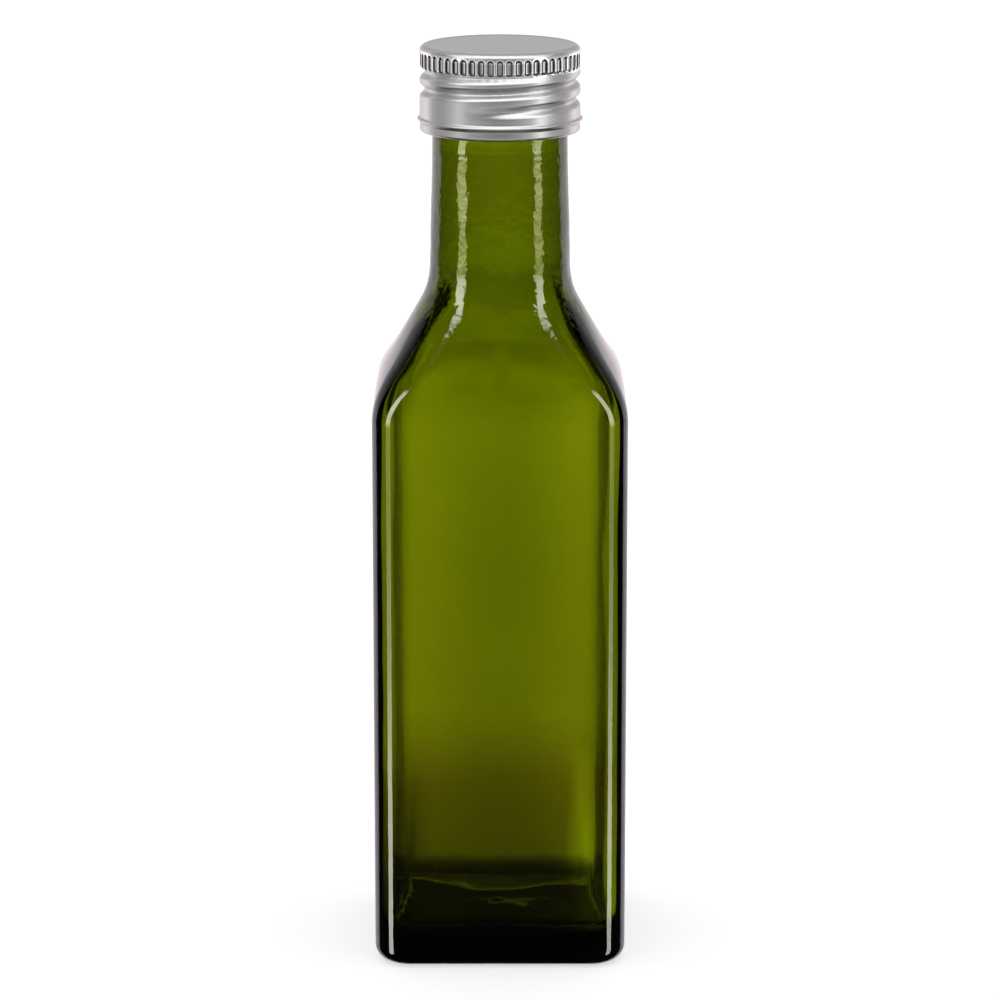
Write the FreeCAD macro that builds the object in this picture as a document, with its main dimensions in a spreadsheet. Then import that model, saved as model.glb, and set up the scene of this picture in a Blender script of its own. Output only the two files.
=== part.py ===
import FreeCAD, Part

# Square oil bottle of pressed and blown glass, about 100 ml, closed with a screwed
# aluminium cap.
#
# Frame: +Z up, origin at the centre of the base, millimetres. The flat panels face
# +X, -X, +Y and -Y. Two sub-parts are written to parts/:
#   bottle   hollow glass: square body, shoulder that turns square into round, neck
#            and finish, with a chamber and a bore of its own shape inside
#   cap      thin aluminium shell with a fluted band, a neck-in, a bead and a hem
#
# Every driving size is a cell of the sheet "Sizes". Heights on the glass are from the
# base, heights on the cap are from the rim of its skirt.

import math
import os
import re

import Sketcher

SIZES = [
    ("body_side", "39.0", "across the flat panels"),
    ("corner_radius", "5.6", "upright edges of the body, in plan"),
    ("heel_radius", "2.5", "edge between the panels and the base"),
    ("shoulder_height", "85.7", "where the flat panels end"),
    ("shoulder_radius", "14.2", "bend from the panels into the shoulder"),
    ("shoulder_slope", "29.3", "shoulder flank from the upright, degrees"),
    ("shoulder_fullness", "1.15", "how long the shoulder keeps its square corners"),
    ("tangent_run", "1.5", "straight lead at each end of the shoulder"),
    ("neck_root_radius", "11.5", "hollow bend from the shoulder into the neck"),
    ("neck_length", "20.5", "neck root to the skirt of the cap"),
    ("neck_taper", "0.45", "how much wider the neck is at its foot"),
    ("side_wall", "2.4", "glass of the panels"),
    ("corner_fill", "0.4", "extra roundness of the chamber's upright edges"),
    ("chamber_heel_radius", "4.0", "edge round the chamber floor"),
    ("base_thickness", "4.6", "underside plane to chamber floor"),
    ("bearing_width", "3.5", "flat band the bottle stands on, heel to push-up"),
    ("punt_depth", "1.8", "height of the round push-up in the underside"),
    ("neck_wall", "2.7", "glass of the neck foot"),
    ("finish_wall", "3.3", "glass of the finish under the cap"),
    ("lip_round", "0.8", "outer edge of the lip"),
    ("ring_ledge", "1.43", "how far the transfer ring stands out of the neck"),
    ("ring_low", "0.75", "transfer ring foot above the skirt rim"),
    ("ring_high", "2.4", "transfer ring top above the skirt rim"),
    ("cap_clearance", "0.3", "glass finish to the inside of the cap"),
    ("cap_radius", "12.3", "outside of the cap band and fluted band"),
    ("cap_height", "13.2", "rim of the skirt to the top"),
    ("cap_wall", "0.22", "aluminium sheet"),
    ("cap_edge_radius", "0.9", "round edge of the cap top"),
    ("flute_count", "54", "flutes round the grip band"),
    ("flute_radius", "0.6", "round bottom of one flute"),
    ("flute_depth", "0.33", "depth of one flute"),
    ("flute_drop", "0.95", "cap top to the upper end of the flutes"),
    ("flute_length", "2.75", "end to end of one flute"),
    ("neckin_drop", "4.15", "cap top to the middle of the groove under the flutes"),
    ("neckin_width", "1.7", "width of that groove"),
    ("neckin_depth", "0.62", "depth of that groove"),
    ("bead_height", "1.95", "middle of the bead above the skirt rim"),
    ("bead_width", "1.0", "width of the bead"),
    ("bead_rise", "0.36", "how far the bead stands out"),
    ("hem_radius", "0.55", "turned-in rim of the skirt"),
]

# Sizes worked out from the driving ones. "outer" is the glass outside, "inner" the
# chamber, which follows the outside at the thickness of the wall. The finish fits
# inside the cap, and the neck hangs from the finish.
ROOT_HEIGHT = (
    "shoulder_height + ({form}_bend + {form}_root) * sin(shoulder_slope)"
    " + ({form}_half - {form}_foot - ({form}_bend + {form}_root)"
    " * (1 - cos(shoulder_slope))) / tan(shoulder_slope)"
)
DERIVED = [
    ("thread_radius", "cap_radius - neckin_depth - cap_wall - cap_clearance"),
    ("ring_radius", "cap_radius - cap_wall - cap_clearance"),
    ("bore_radius", "thread_radius - finish_wall"),
    ("neck_top_radius", "ring_radius - ring_ledge"),
    ("outer_half", "body_side / 2"),
    ("outer_corner", "corner_radius"),
    ("outer_bend", "shoulder_radius"),
    ("outer_root", "neck_root_radius"),
    ("outer_foot", "neck_top_radius + neck_taper"),
    ("outer_root_height", ROOT_HEIGHT.format(form="outer")),
    ("inner_half", "body_side / 2 - side_wall"),
    ("inner_corner", "corner_radius - side_wall + corner_fill"),
    ("inner_bend", "shoulder_radius - side_wall"),
    ("inner_root", "neck_root_radius + neck_wall"),
    ("inner_foot", "outer_foot - neck_wall"),
    ("inner_root_height", ROOT_HEIGHT.format(form="inner")),
    ("skirt_rim", "outer_root_height + neck_length"),
    ("lip_height", "skirt_rim + cap_height - cap_wall"),
    ("punt_radius", "body_side / 2 - heel_radius - bearing_width"),
    ("punt_arc", "(punt_radius ^ 2 + punt_depth ^ 2) / (2 * punt_depth)"),
    ("neckin_height", "cap_height - neckin_drop"),
    ("neckin_arc", "(neckin_width ^ 2 / 4 + neckin_depth ^ 2) / (2 * neckin_depth)"),
    ("bead_arc", "(bead_width ^ 2 / 4 + bead_rise ^ 2) / (2 * bead_rise)"),
]

CIRCLE_ARC = 45.0       # a round section is eight arcs, one for each edge of a square one
CORE_OVERRUN = 1.0      # how far the bore's cutter stands out of the mouth
CORNER_LEFT = 0.3       # a heel stays this much tighter than the upright edges it meets

doc = FreeCAD.newDocument("SquareBottle")
sheet = doc.addObject("Spreadsheet::Sheet", "Sizes")


# ---------------------------------------------------------------- sheet and formulas

def fill_sheet():
    """Driving sizes first, then the sizes worked out from them."""
    row = 0
    for alias, number, meaning in SIZES:
        row += 1
        sheet.set("A%d" % row, alias)
        sheet.set("B%d" % row, number)
        sheet.set("C%d" % row, meaning)
        sheet.setAlias("B%d" % row, alias)
    for alias, formula in DERIVED:
        row += 1
        sheet.set("A%d" % row, alias)
        sheet.set("B%d" % row, "=" + formula)
        sheet.setAlias("B%d" % row, alias)
    doc.recompute()


def value(formula):
    """Number that a formula in the sheet's names has now."""
    return float(sheet.evalExpression(formula))


def bound(formula):
    """The same formula as an expression for another object of the document."""
    names = "|".join(entry[0] for entry in SIZES + DERIVED)
    pattern = r"\b(%s)\b" % names
    return re.sub(pattern, r"Sizes.\1", formula)


def bind(thing, path, formula):
    thing.setExpression(path, bound(formula))


# ------------------------------------------------------------------ sketches

def origin_part(body, role):
    return [part for part in body.Origin.OriginFeatures if part.Role == role][0]


def add_body(name):
    return doc.addObject("PartDesign::Body", name)


def add_sketch(body, name, plane, height=None):
    """Sketch on one of the body's own planes, raised by a formula if one is given."""
    sketch = body.newObject("Sketcher::SketchObject", name)
    sketch.AttachmentSupport = [(origin_part(body, plane), "")]
    sketch.MapMode = "FlatFace"
    if height:
        bind(sketch, "AttachmentOffset.Base.z", height)
    return sketch


def size_constraint(sketch, kind, places, formula):
    """Dimension whose number comes from a formula."""
    index = sketch.addConstraint(Sketcher.Constraint(kind, *places, value(formula)))
    bind(sketch, "Constraints[%d]" % index, formula)


ORIGIN = (-1, 1)
X_AXIS = -1
Y_AXIS = -2
START, END, CENTRE = 1, 2, 3


def arc_between(start, end, radius, left):
    """Short arc joining two places; left says on which side of the way its centre lies."""
    chord = end - start
    half = chord.Length / 2
    side = FreeCAD.Vector(-chord.y, chord.x, 0).normalize() * (1 if left else -1)
    centre = (start + end) * 0.5 + side * (max(radius ** 2 - half ** 2, 0.0) ** 0.5)
    first, last = (start, end) if left else (end, start)
    return arc_round(centre, radius, direction(first - centre), direction(last - centre))


def direction(vector):
    """Angle of a vector in the sketch plane, in degrees."""
    return math.degrees(math.atan2(vector.y, vector.x))


def add_outline(sketch, points):
    """Closed outline through points of the XZ half plane.

    A point is (x, z) or (x, z, radius, left): with a radius, the edge that leads to it
    is an arc of that radius whose centre lies to the left or right of the way. All are
    formulas. x of None is on the axis.
    """
    places = [FreeCAD.Vector(value(p[0]) if p[0] else 0, value(p[1]), 0) for p in points]
    for index, point in enumerate(points):
        start, end = places[index - 1], places[index]
        if len(point) == 2:
            sketch.addGeometry(Part.LineSegment(start, end))
            continue
        sketch.addGeometry(arc_between(start, end, value(point[2]), point[3]))
    count = len(points)
    ends = [START if len(point) > 2 and not point[3] else END for point in points]
    for index in range(count):
        following = (index + 1) % count
        near = START if ends[following] == END else END
        joint = (index, ends[index], following, near)
        sketch.addConstraint(Sketcher.Constraint("Coincident", *joint))
    for index, point in enumerate(points):
        corner = (index, ends[index])
        if point[0]:
            size_constraint(sketch, "DistanceX", ORIGIN + corner, point[0])
        else:
            sketch.addConstraint(Sketcher.Constraint("PointOnObject", *corner, Y_AXIS))
        if point[1] == "0":
            sketch.addConstraint(Sketcher.Constraint("PointOnObject", *corner, X_AXIS))
        else:
            size_constraint(sketch, "DistanceY", ORIGIN + corner, point[1])
        if len(point) > 2:
            size_constraint(sketch, "Radius", (index,), point[2])


def side_formulas(half, corner, bow):
    """Corner centre and side radius of a square section whose sides bow by an angle."""
    reach = "(({h}) - ({c})) / (1 + sin({b}) - cos({b}))".format(h=half, c=corner, b=bow)
    return "%s * sin(%s)" % (reach, bow), "%s + (%s)" % (reach, corner)


def add_square(sketch, half, corner, bow=None):
    """Rounded square of four sides and four corner arcs, its sides bowed out if asked."""
    centre = "({h}) - ({c})".format(h=half, c=corner)
    side = None
    if bow:
        centre, side = side_formulas(half, corner, bow)
    offset, radius, lean = value(centre), value(corner), value(bow) if bow else 0.0
    for turn in range(4):
        spin = FreeCAD.Rotation(FreeCAD.Vector(0, 0, 1), 90 * turn)
        middle = spin.multVec(FreeCAD.Vector(offset, offset, 0))
        first = 90 * turn + lean
        last = 90 * turn + 90 - lean
        corner_arc = arc_round(middle, radius, first, last)
        sketch.addGeometry(corner_arc)
        next_middle = spin.multVec(FreeCAD.Vector(-offset, offset, 0))
        if side:
            far = spin.multVec(FreeCAD.Vector(0, value(half) - value(side), 0))
            sketch.addGeometry(arc_round(far, value(side), last, last + 2 * lean))
            continue
        reach = spin.multVec(FreeCAD.Vector(0, radius, 0))
        sketch.addGeometry(Part.LineSegment(middle + reach, next_middle + reach))
    for index in range(8):
        joint = (index, END, (index + 1) % 8, START)
        sketch.addConstraint(Sketcher.Constraint("Tangent", *joint))
    for index in (2, 4, 6):
        sketch.addConstraint(Sketcher.Constraint("Equal", 0, index))
    mirrors = {2: (Y_AXIS,), 4: ORIGIN, 6: (X_AXIS,)}
    for index, mirror in mirrors.items():
        pair = (0, CENTRE, index, CENTRE)
        sketch.addConstraint(Sketcher.Constraint("Symmetric", *pair, *mirror))
    size_constraint(sketch, "DistanceX", ORIGIN + (0, CENTRE), centre)
    size_constraint(sketch, "DistanceY", ORIGIN + (0, CENTRE), centre)
    size_constraint(sketch, "Radius", (0,), corner)
    if side:
        for index in (3, 5, 7):
            sketch.addConstraint(Sketcher.Constraint("Equal", 1, index))
        size_constraint(sketch, "Radius", (1,), side)


def arc_round(centre, radius, first, last):
    """Anticlockwise arc about a centre between two directions in degrees."""
    circle = Part.Circle(centre, FreeCAD.Vector(0, 0, 1), radius)
    return Part.ArcOfCircle(circle, math.radians(first), math.radians(last))


def add_round(sketch, radius):
    """Circle cut into eight equal arcs, so that a square section can blend into it."""
    size = value(radius)
    half_arc = CIRCLE_ARC / 2
    for index in range(8):
        first = half_arc + CIRCLE_ARC * index
        sketch.addGeometry(arc_round(FreeCAD.Vector(), size, first, first + CIRCLE_ARC))
    ray_end = FreeCAD.Rotation(FreeCAD.Vector(0, 0, 1), half_arc).multVec(
        FreeCAD.Vector(size / 2, 0, 0))
    ray = sketch.addGeometry(Part.LineSegment(FreeCAD.Vector(), ray_end), True)
    for index in range(8):
        sketch.addConstraint(Sketcher.Constraint("Coincident", index, CENTRE, *ORIGIN))
    for index in range(7):
        sketch.addConstraint(Sketcher.Constraint("Coincident", index, END, index + 1, START))
        span = FreeCAD.Units.Quantity("%g deg" % CIRCLE_ARC)
        sketch.addConstraint(Sketcher.Constraint("Angle", index, span))
    sketch.addConstraint(Sketcher.Constraint("Coincident", ray, START, *ORIGIN))
    lean = FreeCAD.Units.Quantity("%g deg" % half_arc)
    sketch.addConstraint(Sketcher.Constraint("Angle", X_AXIS, 1, ray, START, lean))
    size_constraint(sketch, "Distance", (ray,), "(%s) / 2" % radius)
    sketch.addConstraint(Sketcher.Constraint("PointOnObject", 0, START, ray))
    sketch.addConstraint(Sketcher.Constraint("PointOnObject", 7, END, ray))
    size_constraint(sketch, "Radius", (0,), radius)


# ------------------------------------------------------------------ features

def add_pad(body, sketch, length):
    pad = body.newObject("PartDesign::Pad", sketch.Name + "Pad")
    pad.Profile = sketch
    bind(pad, "Length", length)
    return pad


def add_turned(body, sketch, kind="PartDesign::Revolution"):
    """Full turn of a profile about the body's Z axis."""
    turned = body.newObject(kind, sketch.Name + "Turned")
    turned.Profile = sketch
    turned.ReferenceAxis = (origin_part(body, "Z_Axis"), [""])
    turned.Angle = 360
    return turned


def edges_at_height(feature, height):
    """Names of the edges that lie flat at a height."""
    names = []
    for index, edge in enumerate(feature.Shape.Edges):
        box = edge.BoundBox
        if abs(box.ZMin - height) < 1e-4 and abs(box.ZMax - height) < 1e-4:
            names.append("Edge%d" % (index + 1))
    return names


def round_edges(body, feature, height, radius, name):
    doc.recompute()
    fillet = body.newObject("PartDesign::Fillet", name)
    fillet.Base = (feature, edges_at_height(feature, height))
    bind(fillet, "Radius", radius)
    return fillet


def shoulder_stations(form):
    """Height, half width and share of squareness of each section of a shoulder."""
    bend = "shoulder_height + {f}_bend * sin({a})"
    bend_half = "{f}_half - {f}_bend * (1 - cos({a}))"
    root = "{f}_root_height - {f}_root * sin({a})"
    root_half = "{f}_foot + {f}_root * (1 - cos({a}))"
    full, part = "shoulder_slope", "shoulder_slope / 2"
    stations = [(bend.format(f=form, a=a), bend_half.format(f=form, a=a))
                for a in (part, full)]
    flank_start = stations[-1]
    flank_end = (root.format(f=form, a=full), root_half.format(f=form, a=full))
    stations.append(tuple("((%s) + (%s)) / 2" % pair for pair in zip(flank_start, flank_end)))
    stations.append(flank_end)
    stations.append((root.format(f=form, a=part), root_half.format(f=form, a=part)))
    return stations


def add_shoulder(body, form):
    """Loft from the rounded square of the body to the circle of the neck."""
    squares = ["shoulder_height - tangent_run", "shoulder_height"]
    sections = []
    for height in squares:
        sections.append(add_sketch(body, form + "Square", "XY_Plane", height))
        add_square(sections[-1], form + "_half", form + "_corner")
    for height, half in shoulder_stations(form):
        share = "((({h}) - {f}_foot) / ({f}_half - {f}_foot))".format(h=half, f=form)
        flat = "({f}_half - {f}_corner) * {s} ^ shoulder_fullness".format(f=form, s=share)
        corner = "({h}) - {flat}".format(h=half, flat=flat)
        bow = "(1 - {s}) * {a} deg".format(s=share, a=CIRCLE_ARC / 2)
        sections.append(add_sketch(body, form + "Station", "XY_Plane", height))
        add_square(sections[-1], half, corner, bow)
    for height in (form + "_root_height", form + "_root_height + tangent_run"):
        sections.append(add_sketch(body, form + "Round", "XY_Plane", height))
        add_round(sections[-1], form + "_foot")
    doc.recompute()
    loft = body.newObject("PartDesign::AdditiveLoft", form + "Shoulder")
    loft.Profile = sections[0]
    loft.Sections = sections[1:]
    loft.Ruled = False
    return loft


def bottle_form(form, floor, heel, neck_points):
    """Body, shoulder and neck as one solid: the glass outside, or the chamber."""
    body = add_body(form + "_form")
    plan = add_sketch(body, form + "Plan", "XY_Plane", floor)
    add_square(plan, form + "_half", form + "_corner")
    pad = add_pad(body, plan, "shoulder_height - tangent_run - (%s)" % floor)
    rounded = round_edges(body, pad, value(floor), heel, form + "Heel")
    doc.recompute()
    add_shoulder(body, form)
    neck = add_sketch(body, form + "Neck", "XZ_Plane")
    foot_height = form + "_root_height + tangent_run"
    add_outline(neck, [(None, foot_height), (form + "_foot", foot_height)] + neck_points)
    add_turned(body, neck)
    doc.recompute()
    return body


# ------------------------------------------------------------------ the sub-parts

def make_bottle():
    """Outside form less the chamber and bore, with the push-up in the underside."""
    outside = bottle_form("outer", "0", "heel_radius", [
        ("neck_top_radius", "skirt_rim"),
        ("ring_radius", "skirt_rim + ring_low"),
        ("ring_radius", "skirt_rim + ring_high"),
        ("thread_radius", "skirt_rim + ring_high + (ring_radius - thread_radius)"),
        ("thread_radius", "lip_height - lip_round"),
        ("thread_radius - lip_round", "lip_height", "lip_round", True),
        (None, "lip_height"),
    ])
    punt = add_sketch(outside, "Punt", "XZ_Plane")
    add_outline(punt, [
        (None, "0"),
        ("punt_radius", "0"),
        (None, "punt_depth", "punt_arc", True),
    ])
    add_turned(outside, punt, "PartDesign::Groove")
    doc.recompute()
    heel = "min(chamber_heel_radius; inner_corner - %g)" % CORNER_LEFT
    core = bottle_form("inner", "base_thickness", heel, [
        ("bore_radius", "skirt_rim + ring_high"),
        ("bore_radius", "lip_height + %g" % CORE_OVERRUN),
        (None, "lip_height + %g" % CORE_OVERRUN),
    ])
    bottle = doc.addObject("Part::Cut", "bottle")
    bottle.Base = outside
    bottle.Tool = core
    return bottle


def make_cap():
    """Turned sheet section of the cap, then one flute cut and repeated round it."""
    cap = add_body("cap")
    wall = add_sketch(cap, "CapWall", "XZ_Plane")
    outside, inside = "cap_radius", "cap_radius - cap_wall"
    behind = "cap_radius - flute_depth - cap_wall"
    bead_inner = "bead_arc - cap_wall"
    bead_half = "sqrt(bead_rise * (2 * (bead_arc - cap_wall) - bead_rise))"
    neckin_inner = "neckin_arc + cap_wall"
    low_half = "sqrt(neckin_depth * (2 * (neckin_arc + cap_wall) - neckin_depth))"
    reach = "neckin_arc - neckin_depth + flute_depth + cap_wall"
    high_half = "sqrt((neckin_arc + cap_wall) ^ 2 - (%s) ^ 2)" % reach
    inner_edge = "(cap_edge_radius - cap_wall)"
    add_outline(wall, [
        (None, "cap_height"),
        (None, "cap_height - cap_wall"),
        (behind + " - " + inner_edge, "cap_height - cap_wall"),
        (behind, "cap_height - cap_edge_radius", inner_edge, False),
        (behind, "neckin_height + " + high_half),
        (inside, "neckin_height - " + low_half, neckin_inner, True),
        (inside, "bead_height + " + bead_half),
        (inside, "bead_height - " + bead_half, bead_inner, False),
        (inside, "hem_radius"),
        ("cap_radius - hem_radius", "cap_wall", "hem_radius - cap_wall", False),
        ("cap_radius - hem_radius", "0"),
        (outside, "hem_radius", "hem_radius", True),
        (outside, "bead_height - bead_width / 2"),
        (outside, "bead_height + bead_width / 2", "bead_arc", True),
        (outside, "neckin_height - neckin_width / 2"),
        (outside, "neckin_height + neckin_width / 2", "neckin_arc", False),
        (outside, "cap_height - cap_edge_radius"),
        ("cap_radius - cap_edge_radius", "cap_height", "cap_edge_radius", True),
    ])
    add_turned(cap, wall)
    doc.recompute()
    flute = add_flute(cap)
    ring = cap.newObject("PartDesign::PolarPattern", "FluteRing")
    ring.Originals = [flute]
    ring.Axis = (origin_part(cap, "Z_Axis"), [""])
    ring.Angle = 360
    bind(ring, "Occurrences", "flute_count")
    cap.Tip = ring
    bind(cap, "Placement.Base.z", "skirt_rim")
    return cap


def add_flute(cap):
    """One flute: an upright slot with round ends, turned about its own axis."""
    sketch = add_sketch(cap, "Flute", "XZ_Plane")
    middle = "cap_radius - flute_depth + flute_radius"
    top, foot = "cap_height - flute_drop", "cap_height - flute_drop - flute_length"
    high, low = top + " - flute_radius", foot + " + flute_radius"
    add_outline(sketch, [
        (middle, top),
        ("cap_radius - flute_depth", high, "flute_radius", True),
        ("cap_radius - flute_depth", low),
        (middle, foot, "flute_radius", True),
    ])
    place = value(middle)
    axis = sketch.addGeometry(Part.LineSegment(
        FreeCAD.Vector(place, value(low), 0), FreeCAD.Vector(place, value(high), 0)), True)
    sketch.addConstraint(Sketcher.Constraint("Vertical", axis))
    size_constraint(sketch, "DistanceX", ORIGIN + (axis, START), middle)
    size_constraint(sketch, "DistanceY", ORIGIN + (axis, START), low)
    size_constraint(sketch, "DistanceY", ORIGIN + (axis, END), high)
    flute = cap.newObject("PartDesign::Groove", "FluteCut")
    flute.Profile = sketch
    flute.ReferenceAxis = (sketch, ["Axis0"])
    flute.Angle = 360
    return flute


# ------------------------------------------------------------------ check and write

def check_document():
    """Stop if anything in the document failed to build."""
    for thing in doc.Objects:
        if "Invalid" in thing.State or "Error" in thing.State:
            raise RuntimeError("%s did not build: %s" % (thing.Name, thing.State))


def write_part(thing):
    shape = thing.Shape
    if shape.isNull() or not shape.isValid() or len(shape.Solids) != 1:
        raise RuntimeError("%s is not one valid solid" % thing.Label)
    shape.exportStep("parts/%s.step" % thing.Label)
    print("%-8s volume %10.2f mm3, area %10.2f mm2" % (thing.Label, shape.Volume, shape.Area))


fill_sheet()
parts = [make_bottle(), make_cap()]
for part in parts:
    part.Label = part.Name
doc.recompute()
check_document()
os.makedirs("parts", exist_ok=True)
for part in parts:
    write_part(part)
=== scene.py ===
"""Looks of the square glass bottle: an empty antique-green oil bottle with a roll-on aluminium cap.

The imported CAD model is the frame. The glass and the cap are finer meshes of the same form, worked
out from the same sizes, and each stands for its CAD node. Sizes of the bottle are in millimetres,
and places in the studio are in metres.
"""

import math

import bpy
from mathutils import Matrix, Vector, noise


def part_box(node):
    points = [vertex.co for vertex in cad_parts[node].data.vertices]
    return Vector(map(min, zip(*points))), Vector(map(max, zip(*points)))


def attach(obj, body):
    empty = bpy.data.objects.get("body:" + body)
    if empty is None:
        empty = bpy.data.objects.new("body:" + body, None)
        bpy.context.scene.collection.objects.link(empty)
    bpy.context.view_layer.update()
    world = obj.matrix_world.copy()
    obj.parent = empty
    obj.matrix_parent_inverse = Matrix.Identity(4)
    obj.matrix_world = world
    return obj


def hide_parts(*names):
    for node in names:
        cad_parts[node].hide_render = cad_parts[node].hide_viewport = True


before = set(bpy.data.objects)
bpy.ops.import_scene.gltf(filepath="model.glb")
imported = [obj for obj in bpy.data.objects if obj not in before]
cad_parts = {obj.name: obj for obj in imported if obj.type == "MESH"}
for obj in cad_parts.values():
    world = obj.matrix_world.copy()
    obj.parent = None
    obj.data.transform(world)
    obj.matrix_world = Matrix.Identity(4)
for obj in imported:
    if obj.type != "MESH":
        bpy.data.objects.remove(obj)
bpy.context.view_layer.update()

MM = 0.001
bottle_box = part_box("bottle")
cap_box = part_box("cap")

BODY_HALF = bottle_box[1].x / MM
LIP_HEIGHT = bottle_box[1].z / MM
SKIRT_RIM = cap_box[0].z / MM
CAP_TOP = cap_box[1].z / MM

# ------------------------------------------------------------------ sizes of the cap

CAP_RADIUS = 12.3
CAP_EDGE = 0.9
CAP_WALL = 0.22
CAP_CLEARANCE = 0.3
NECKIN_DEPTH = 0.62
TOP_RINGS = (1, 3, 5, 7, 9, 10.2, 10.6, 10.85, 11.1)
TOP_DISH = 0.05
DISH_EDGE = (10.5, 11.2)
FLUTES = 54
FLUTE_RADIUS = 0.6
FLUTE_DEPTH = 0.33
FLUTE_DROP = 0.95
FLUTE_LENGTH = 2.5
FLUTE_TOP = CAP_TOP - FLUTE_DROP
FLUTE_FOOT = FLUTE_TOP - FLUTE_LENGTH
FLUTE_END = FLUTE_FOOT - 0.1
KNURL_TOP = FLUTE_TOP + 0.2
BEAD_MIDDLE = SKIRT_RIM + 1.95
BEAD_WIDTH = 1.0
BEAD_RISE = cap_box[1].x / MM - CAP_RADIUS
HEM = 0.55
HEM_TILT = 0.12
SHEET_END = 0.12

# Inside, the sheet draws in behind the flutes and under the top.
DRAW_IN_FOOT = FLUTE_FOOT - 0.2
DRAW_IN_TOP = FLUTE_FOOT + 0.5
INNER_BEVEL = 0.5
INNER_RING = 4.0

# The rolled thread climbs to the right from the front; its turns are counted in degrees.
THREAD_START = 132.75
THREAD_TURNS = 3
THREAD_PITCH = 2.85
THREAD_DEPTH = 0.8
THREAD_HALF = 1.15
THREAD_SHARPNESS = 1.15
THREAD_FADE_IN = (-30.0, 40.0)
THREAD_FADE_OUT = (680.0, 820.0)
THREAD_SAG = 0.42
THREAD_SAG_START = 540.0
THREAD_SAG_POWER = 1.5
THREAD_NARROWING = 0.6
THREAD_NARROWS = (600.0, 720.0)

# Columns of points to a flute, which keep the cap under 200,000 triangles, and rows of points.
FLUTE_STEPS = 10
EDGE_ROWS = 10
FLUTE_ROWS = 21
BAND_ROWS = 44
BEAD_ROWS = 12
SKIRT_ROWS = 4
HEM_ROWS = 8
INNER_HEM_ROWS = 5
INNER_BAND_ROWS = 40

# ------------------------------------------------------------------ sizes of the glass

CORNER = 5.6
HEEL = 2.5
SHOULDER_HEIGHT = 85.7
SHOULDER_BEND = 14.2
NECK_ROOT_BEND = 11.5
FLANK_ANGLE = math.radians(29.3)
FULLNESS = 1.15
BEARING = 3.5
PUNT_DEPTH = 1.8

# The finish fits inside the cap, and the neck hangs from the finish.
RING_RADIUS = CAP_RADIUS - CAP_WALL - CAP_CLEARANCE
RING_LEDGE = 1.43
RING_LOW = 0.75
RING_HIGH = 2.4
THREAD_RADIUS = RING_RADIUS - NECKIN_DEPTH
THREAD_FOOT = RING_HIGH + 1.2
LIP_ROUND = 0.8
NECK_TOP = RING_RADIUS - RING_LEDGE
NECK_TAPER = 0.45
NECK_FOOT = NECK_TOP + NECK_TAPER

# The inside follows the outside at the thickness of the wall.
SIDE_WALL = 2.4
NECK_WALL = 2.7
FINISH_WALL = 3.3
CORNER_FILL = 0.4
INNER_HALF = BODY_HALF - SIDE_WALL
INNER_CORNER = CORNER - SIDE_WALL + CORNER_FILL
INNER_BEND = SHOULDER_BEND - SIDE_WALL
INNER_ROOT_BEND = NECK_ROOT_BEND + NECK_WALL
INNER_FOOT = NECK_FOOT - NECK_WALL
BORE = THREAD_RADIUS - FINISH_WALL
BORE_START = 1.4
LIP_CHAMFER = 0.4
CHAMBER_HEEL = 3.3
FLOOR_HEIGHT = 4.6
FLOOR_DOME = 0.9

# The blown wall is thicker in mid side, in the neck and at the turn of the shoulder.
MID_SIDE_FILL = 0.42
MID_SIDE_SPAN = (0.05, 0.75)
NECK_FILL = 0.32
ROOT_FILL = 0.2

MOULD_LINES = (125.2, 126.1)
MOULD_LINE_RISE = 0.035
MOULD_LINE_HALF = 0.25

# Waves of the glass: (height, length across, length down, seed) of each.
CALM_WAVES = ((0.006, 9.0, 16.0, 3.1),)
NECK_WAVES = ((0.028, 2.6, 2.2, 7.7), (0.05, 5.0, 7.0, 11.3))
INNER_WAVES = ((0.16, 11.0, 19.0, 5.3), (0.05, 4.5, 9.0, 9.9))
TURN_WAVES = ((0.30, 7.0, 8.0, 15.1), (0.10, 2.5, 6.0, 17.3))
FLOOR_WAVES = ((0.22, 7.0, 9.0, 21.0),)
FLOOR_PITS = ((0.14, 1.2, 1.2, 33.0),)

# Where a wave fades in or out: heights, and for the pits the share of the chamber's half width.
ABOVE_HEEL = (0.5, 8.0)
BODY_ENDS = (84.0, 104.0)
TURN_BEGINS = (86.0, 93.0)
TURN_ENDS = (104.0, 112.0)
NECK_BEGINS = (88.0, 108.0)
UNDER_CAP = (126.0, 129.0)
FLOOR_ENDS = (FLOOR_HEIGHT + 2.0, FLOOR_HEIGHT + 6.0)
PITS_BEGIN = (0.74, 0.92)

# Points round a section and rows along each stretch of the glass.
FULL_BOW = math.radians(22.5)
LEAST_BOW = 1e-4
SIDE_STEPS = 40
CORNER_STEPS = 20
PUNT_ROWS = 9
BEARING_ROWS = 4
HEEL_ROWS = 12
BODY_ROWS = 40
BEND_ROWS = 26
FLANK_ROWS = 9
ROOT_ROWS = 22
NECK_ROWS = 84
INNER_NECK_ROWS = 30
FINISH_ROWS = 6
CHAMBER_ROWS = 14
PUNT_POLE = 0.1
FLOOR_POLE = 0.05


# ------------------------------------------------------------------ mesh helpers

def smooth_step(low, high, x):
    """0 below low, 1 above high, and smooth between."""
    t = min(1.0, max(0.0, (x - low) / (high - low)))
    return t * t * (3.0 - 2.0 * t)


def spread(start, end, steps):
    """Evenly spaced numbers from start to end, both ends included."""
    return [start + (end - start) * i / steps for i in range(steps + 1)]


def arc(middle_r, middle_z, radius, start_deg, end_deg, steps):
    """Points (radius, height) on a circular arc of a profile."""
    angles = [math.radians(a) for a in spread(start_deg, end_deg, steps)]
    return [(middle_r + radius * math.cos(a), middle_z + radius * math.sin(a)) for a in angles]


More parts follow.
